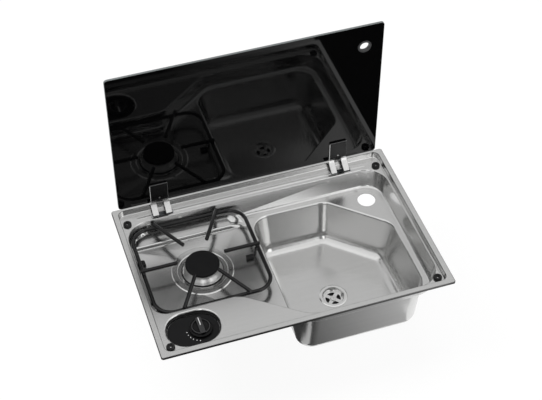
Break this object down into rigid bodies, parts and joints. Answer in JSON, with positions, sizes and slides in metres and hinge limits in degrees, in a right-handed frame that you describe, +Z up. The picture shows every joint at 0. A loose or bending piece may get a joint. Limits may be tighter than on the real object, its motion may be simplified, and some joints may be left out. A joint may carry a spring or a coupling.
{
  "type": "hob and sink combination unit",
  "caption": "Inset stainless kitchen unit with a gas burner, wire pan support, control knob, sink bowl with waste, tap hole and a hinged black glass lid.",
  "frame": {"origin": "middle of the unit in the worktop plane, under the rim's lip", "axes": "+X to the right along the front edge, +Y to the back where the lid is hinged, +Z up out of the worktop"},
  "size_m": [0.6, 0.4017, 0.5608],
  "materials": {
    "stainless": "satin pressed stainless sheet",
    "black_glass": "toughened glass printed black, polished",
    "black_enamel": "satin black enamel",
    "black_plastic": "satin black moulding",
    "grey_plastic": "dark grey moulding",
    "black_rubber": "matt black rubber",
    "foam": "closed-cell foam strip",
    "aluminium": "machined die casting",
    "brass": "turned brass",
    "zinc_steel": "zinc-plated steel",
    "bright_steel": "bright steel",
    "pipe_steel": "drawn steel tube",
    "copper_lead": "drawn copper capillary",
    "chrome": "polished stainless"
  },
  "bodies": {
    "root": {"deck_pressing": "stainless", "sink_bowl": "stainless", "flange_seal": "foam", "corner_buffers": "black_rubber", "control_bezel": "black_plastic", "gas_tap_body": "brass", "tap_bracket": "zinc_steel", "tap_neck_nut": "brass", "bracket_studs": "zinc_steel", "burner_seal": "black_rubber", "burner_cup": "aluminium", "burner_crown": "aluminium", "burner_cap": "black_enamel", "thermocouple": "bright_steel", "thermocouple_lead": "copper_lead", "injector": "brass", "injector_elbow": "brass", "burner_pipe": "pipe_steel", "gas_inlet_pipe": "pipe_steel", "pipe_nuts": "brass", "waste_flange": "chrome", "waste_strainer": "chrome", "waste_screw": "chrome", "waste_gasket": "black_rubber", "waste_body": "black_plastic", "waste_tail": "black_plastic", "pan_support_ring": "black_enamel", "pan_support_fingers": "black_enamel", "pan_support_legs": "black_enamel", "pan_support_feet": "black_rubber", "hinge_bracket_left": "zinc_steel", "hinge_bracket_right": "zinc_steel", "hinge_pin_left": "bright_steel", "hinge_pin_right": "bright_steel", "hinge_rivets": "bright_steel"},
    "lid": {"glass_lid": "black_glass", "finger_grommet": "grey_plastic", "hinge_arm_left": "bright_steel", "hinge_arm_right": "bright_steel", "hinge_pad_left": "black_rubber", "hinge_pad_right": "black_rubber", "hinge_cover_left": "black_plastic", "hinge_cover_right": "black_plastic", "hinge_cover_screws": "bright_steel"},
    "tap_plug": {"valve_stem": "brass"},
    "knob": {"control_knob": "black_plastic"}
  },
  "joints": [
    {"name": "lid_hinge", "type": "hinge", "parent": "root", "child": "lid", "pos_m": [0, 0.18575, -0.01275], "axis": [1, 0, 0], "range_deg": [0, 90]},
    {"name": "knob_turn", "type": "hinge", "parent": "root", "child": "tap_plug", "pos_m": [-0.2055, -0.136, 0], "axis": [0, 0, 1], "range_deg": [0, 180]},
    {"name": "knob_push", "type": "slide", "parent": "tap_plug", "child": "knob", "axis": [0, 0, -1], "range_m": [0, 0.002], "stiffness_N_per_m": 800, "springref_m": -0.002}
  ]
}
